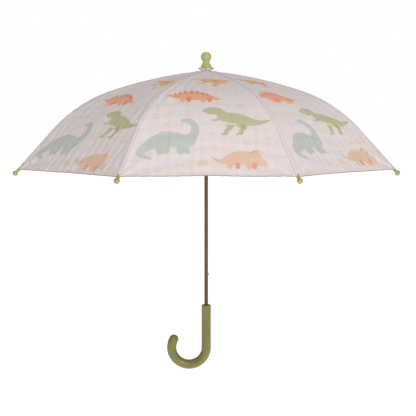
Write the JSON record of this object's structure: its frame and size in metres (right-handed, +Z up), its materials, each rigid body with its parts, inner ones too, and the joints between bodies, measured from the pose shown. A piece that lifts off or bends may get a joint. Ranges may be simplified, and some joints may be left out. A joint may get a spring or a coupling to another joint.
{
  "type": "children's umbrella",
  "caption": "Small open umbrella with a printed cloth canopy on folding steel ribs, ball tips, a slim shaft and a crook handle.",
  "frame": {"origin": "on the shaft's axis, half way up the straight grip of the handle", "axes": "+Z up the shaft to the finial; the crook points to -X; -Y is the front, square to the crook"},
  "size_m": [0.7636, 0.7636, 0.6889],
  "materials": {
    "shaft_steel": "dark bronze plating",
    "rib_steel": "satin plating",
    "wire": "drawn wire",
    "spring_steel": "bright spring steel",
    "handle_green": "glossy olive",
    "light_green": "glossy light green",
    "canopy_cloth": "printed polyester"
  },
  "bodies": {
    "shaft": {"shaft": "shaft_steel", "handle": "handle_green", "handle_bush": "light_green", "finial": "light_green", "top_rosette": "canopy_cloth", "notch": "light_green", "notch_ring": "wire", "notch_pin": "wire", "stop_pin": "wire"},
    "rib_1": {"rib_1": "rib_steel", "rib_clip_1": "rib_steel", "canopy_panel_1": "canopy_cloth"},
    "tip_1": {"tip_1": "light_green"},
    "stretcher_1": {"stretcher_1": "rib_steel"},
    "rib_2": {"rib_2": "rib_steel", "rib_clip_2": "rib_steel", "canopy_panel_2": "canopy_cloth"},
    "tip_2": {"tip_2": "light_green"},
    "stretcher_2": {"stretcher_2": "rib_steel"},
    "rib_3": {"rib_3": "rib_steel", "rib_clip_3": "rib_steel", "canopy_panel_3": "canopy_cloth"},
    "tip_3": {"tip_3": "light_green"},
    "stretcher_3": {"stretcher_3": "rib_steel"},
    "rib_4": {"rib_4": "rib_steel", "rib_clip_4": "rib_steel", "canopy_panel_4": "canopy_cloth"},
    "tip_4": {"tip_4": "light_green"},
    "stretcher_4": {"stretcher_4": "rib_steel"},
    "rib_5": {"rib_5": "rib_steel", "rib_clip_5": "rib_steel", "canopy_panel_5": "canopy_cloth"},
    "tip_5": {"tip_5": "light_green", "tie_strap": "canopy_cloth", "strap_snap": "light_green"},
    "stretcher_5": {"stretcher_5": "rib_steel"},
    "rib_6": {"rib_6": "rib_steel", "rib_clip_6": "rib_steel", "canopy_panel_6": "canopy_cloth"},
    "tip_6": {"tip_6": "light_green"},
    "stretcher_6": {"stretcher_6": "rib_steel"},
    "rib_7": {"rib_7": "rib_steel", "rib_clip_7": "rib_steel", "canopy_panel_7": "canopy_cloth"},
    "tip_7": {"tip_7": "light_green"},
    "stretcher_7": {"stretcher_7": "rib_steel"},
    "rib_8": {"rib_8": "rib_steel", "rib_clip_8": "rib_steel", "canopy_panel_8": "canopy_cloth"},
    "tip_8": {"tip_8": "light_green"},
    "stretcher_8": {"stretcher_8": "rib_steel"},
    "runner": {"runner": "light_green", "runner_ring": "wire"},
    "upper_catch": {"upper_catch": "spring_steel"},
    "lower_catch": {"lower_catch": "spring_steel"}
  },
  "joints": [
    {"name": "canopy_fold", "type": "hinge", "parent": "shaft", "child": "rib_1", "pos_m": [-0.00334, -0.00836, 0.549], "axis": [0.9285, -0.3714, 0], "range_deg": [0, 74.09], "deforming": ["rib_1", "canopy_panel_1", "upper_catch", "lower_catch"]},
    {"name": "rib_hinge_2", "type": "hinge", "parent": "shaft", "child": "rib_2", "pos_m": [0.00355, -0.00827, 0.549], "axis": [0.9191, 0.3939, 0], "range_deg": [0, 74.09], "deforming": ["rib_2", "canopy_panel_2"]},
    {"name": "rib_hinge_3", "type": "hinge", "parent": "shaft", "child": "rib_3", "pos_m": [0.00836, -0.00334, 0.549], "axis": [0.3714, 0.9285, 0], "range_deg": [0, 74.09], "deforming": ["rib_3", "canopy_panel_3"]},
    {"name": "rib_hinge_4", "type": "hinge", "parent": "shaft", "child": "rib_4", "pos_m": [0.00827, 0.00355, 0.549], "axis": [-0.3939, 0.9191, 0], "range_deg": [0, 74.09], "deforming": ["rib_4", "canopy_panel_4"]},
    {"name": "rib_hinge_5", "type": "hinge", "parent": "shaft", "child": "rib_5", "pos_m": [0.00334, 0.00836, 0.549], "axis": [-0.9285, 0.3714, 0], "range_deg": [0, 74.09], "deforming": ["rib_5", "canopy_panel_5"]},
    {"name": "rib_hinge_6", "type": "hinge", "parent": "shaft", "child": "rib_6", "pos_m": [-0.00355, 0.00827, 0.549], "axis": [-0.9191, -0.3939, 0], "range_deg": [0, 74.09], "deforming": ["rib_6", "canopy_panel_6"]},
    {"name": "rib_hinge_7", "type": "hinge", "parent": "shaft", "child": "rib_7", "pos_m": [-0.00836, 0.00334, 0.549], "axis": [-0.3714, -0.9285, 0], "range_deg": [0, 74.09], "deforming": ["rib_7", "canopy_panel_7"]},
    {"name": "rib_hinge_8", "type": "hinge", "parent": "shaft", "child": "rib_8", "pos_m": [-0.00827, -0.00355, 0.549], "axis": [0.3939, -0.9191, 0], "range_deg": [0, 74.09], "deforming": ["rib_8", "canopy_panel_8"]},
    {"name": "stretcher_hinge_1", "type": "hinge", "parent": "rib_1", "child": "stretcher_1", "pos_m": [-0.07172, -0.17931, 0.5051], "axis": [0.9285, -0.3714, 0], "range_deg": [-148.18, 0]},
    {"name": "stretcher_hinge_2", "type": "hinge", "parent": "rib_2", "child": "stretcher_2", "pos_m": [0.07608, -0.1775, 0.5051], "axis": [0.9191, 0.3939, 0], "range_deg": [-148.18, 0]},
    {"name": "stretcher_hinge_3", "type": "hinge", "parent": "rib_3", "child": "stretcher_3", "pos_m": [0.17931, -0.07172, 0.5051], "axis": [0.3714, 0.9285, 0], "range_deg": [-148.18, 0]},
    {"name": "stretcher_hinge_4", "type": "hinge", "parent": "rib_4", "child": "stretcher_4", "pos_m": [0.1775, 0.07608, 0.5051], "axis": [-0.3939, 0.9191, 0], "range_deg": [-148.18, 0]},
    {"name": "stretcher_hinge_5", "type": "hinge", "parent": "rib_5", "child": "stretcher_5", "pos_m": [0.07172, 0.17931, 0.5051], "axis": [-0.9285, 0.3714, 0], "range_deg": [-148.18, 0]},
    {"name": "stretcher_hinge_6", "type": "hinge", "parent": "rib_6", "child": "stretcher_6", "pos_m": [-0.07608, 0.1775, 0.5051], "axis": [-0.9191, -0.3939, 0], "range_deg": [-148.18, 0]},
    {"name": "stretcher_hinge_7", "type": "hinge", "parent": "rib_7", "child": "stretcher_7", "pos_m": [-0.17931, 0.07172, 0.5051], "axis": [-0.3714, -0.9285, 0], "range_deg": [-148.18, 0]},
    {"name": "stretcher_hinge_8", "type": "hinge", "parent": "rib_8", "child": "stretcher_8", "pos_m": [-0.1775, -0.07608, 0.5051], "axis": [0.3939, -0.9191, 0], "range_deg": [-148.18, 0]},
    {"name": "rib_flex_1", "type": "hinge", "parent": "rib_1", "child": "tip_1", "pos_m": [-0.07223, -0.18059, 0.50939], "axis": [0.9285, -0.3714, 0], "range_deg": [-21.02, 0]},
    {"name": "rib_flex_2", "type": "hinge", "parent": "rib_2", "child": "tip_2", "pos_m": [0.07662, -0.17877, 0.50939], "axis": [0.9191, 0.3939, 0], "range_deg": [-21.02, 0]},
    {"name": "rib_flex_3", "type": "hinge", "parent": "rib_3", "child": "tip_3", "pos_m": [0.18059, -0.07223, 0.50939], "axis": [0.3714, 0.9285, 0], "range_deg": [-21.02, 0]},
    {"name": "rib_flex_4", "type": "hinge", "parent": "rib_4", "child": "tip_4", "pos_m": [0.17877, 0.07662, 0.50939], "axis": [-0.3939, 0.9191, 0], "range_deg": [-21.02, 0]},
    {"name": "rib_flex_5", "type": "hinge", "parent": "rib_5", "child": "tip_5", "pos_m": [0.07223, 0.18059, 0.50939], "axis": [-0.9285, 0.3714, 0], "range_deg": [-21.02, 0]},
    {"name": "rib_flex_6", "type": "hinge", "parent": "rib_6", "child": "tip_6", "pos_m": [-0.07662, 0.17877, 0.50939], "axis": [-0.9191, -0.3939, 0], "range_deg": [-21.02, 0]},
    {"name": "rib_flex_7", "type": "hinge", "parent": "rib_7", "child": "tip_7", "pos_m": [-0.18059, 0.07223, 0.50939], "axis": [-0.3714, -0.9285, 0], "range_deg": [-21.02, 0]},
    {"name": "rib_flex_8", "type": "hinge", "parent": "rib_8", "child": "tip_8", "pos_m": [-0.17877, -0.07662, 0.50939], "axis": [0.3939, -0.9191, 0], "range_deg": [-21.02, 0]},
    {"name": "runner_hinge", "type": "hinge", "parent": "stretcher_1", "child": "runner", "pos_m": [-0.00334, -0.00836, 0.4612], "axis": [0.9285, -0.3714, 0], "range_deg": [0, 74.09]},
    {"name": "upper_catch_press", "type": "hinge", "parent": "shaft", "child": "upper_catch", "pos_m": [0, 0, 0.4367], "axis": [0, 1, 0], "range_deg": [0, 5], "stiffness_Nm_per_rad": 0.06, "springref_deg": -1.15},
    {"name": "lower_catch_press", "type": "hinge", "parent": "shaft", "child": "lower_catch", "pos_m": [0, 0, 0.0913], "axis": [0, -1, 0], "range_deg": [0, 5], "stiffness_Nm_per_rad": 0.06, "springref_deg": -1.15}
  ],
  "couplings": [
    {"joint": "rib_hinge_2", "follows": "canopy_fold", "ratio": 1},
    {"joint": "rib_hinge_3", "follows": "canopy_fold", "ratio": 1},
    {"joint": "rib_hinge_4", "follows": "canopy_fold", "ratio": 1},
    {"joint": "rib_hinge_5", "follows": "canopy_fold", "ratio": 1},
    {"joint": "rib_hinge_6", "follows": "canopy_fold", "ratio": 1},
    {"joint": "rib_hinge_7", "follows": "canopy_fold", "ratio": 1},
    {"joint": "rib_hinge_8", "follows": "canopy_fold", "ratio": 1},
    {"joint": "stretcher_hinge_1", "follows": "canopy_fold", "ratio": -2},
    {"joint": "stretcher_hinge_2", "follows": "canopy_fold", "ratio": -2},
    {"joint": "stretcher_hinge_3", "follows": "canopy_fold", "ratio": -2},
    {"joint": "stretcher_hinge_4", "follows": "canopy_fold", "ratio": -2},
    {"joint": "stretcher_hinge_5", "follows": "canopy_fold", "ratio": -2},
    {"joint": "stretcher_hinge_6", "follows": "canopy_fold", "ratio": -2},
    {"joint": "stretcher_hinge_7", "follows": "canopy_fold", "ratio": -2},
    {"joint": "stretcher_hinge_8", "follows": "canopy_fold", "ratio": -2},
    {"joint": "rib_flex_1", "follows": "canopy_fold", "ratio": -0.28368},
    {"joint": "rib_flex_2", "follows": "canopy_fold", "ratio": -0.28368},
    {"joint": "rib_flex_3", "follows": "canopy_fold", "ratio": -0.28368},
    {"joint": "rib_flex_4", "follows": "canopy_fold", "ratio": -0.28368},
    {"joint": "rib_flex_5", "follows": "canopy_fold", "ratio": -0.28368},
    {"joint": "rib_flex_6", "follows": "canopy_fold", "ratio": -0.28368},
    {"joint": "rib_flex_7", "follows": "canopy_fold", "ratio": -0.28368},
    {"joint": "rib_flex_8", "follows": "canopy_fold", "ratio": -0.28368},
    {"joint": "runner_hinge", "follows": "canopy_fold", "ratio": 1}
  ]
}
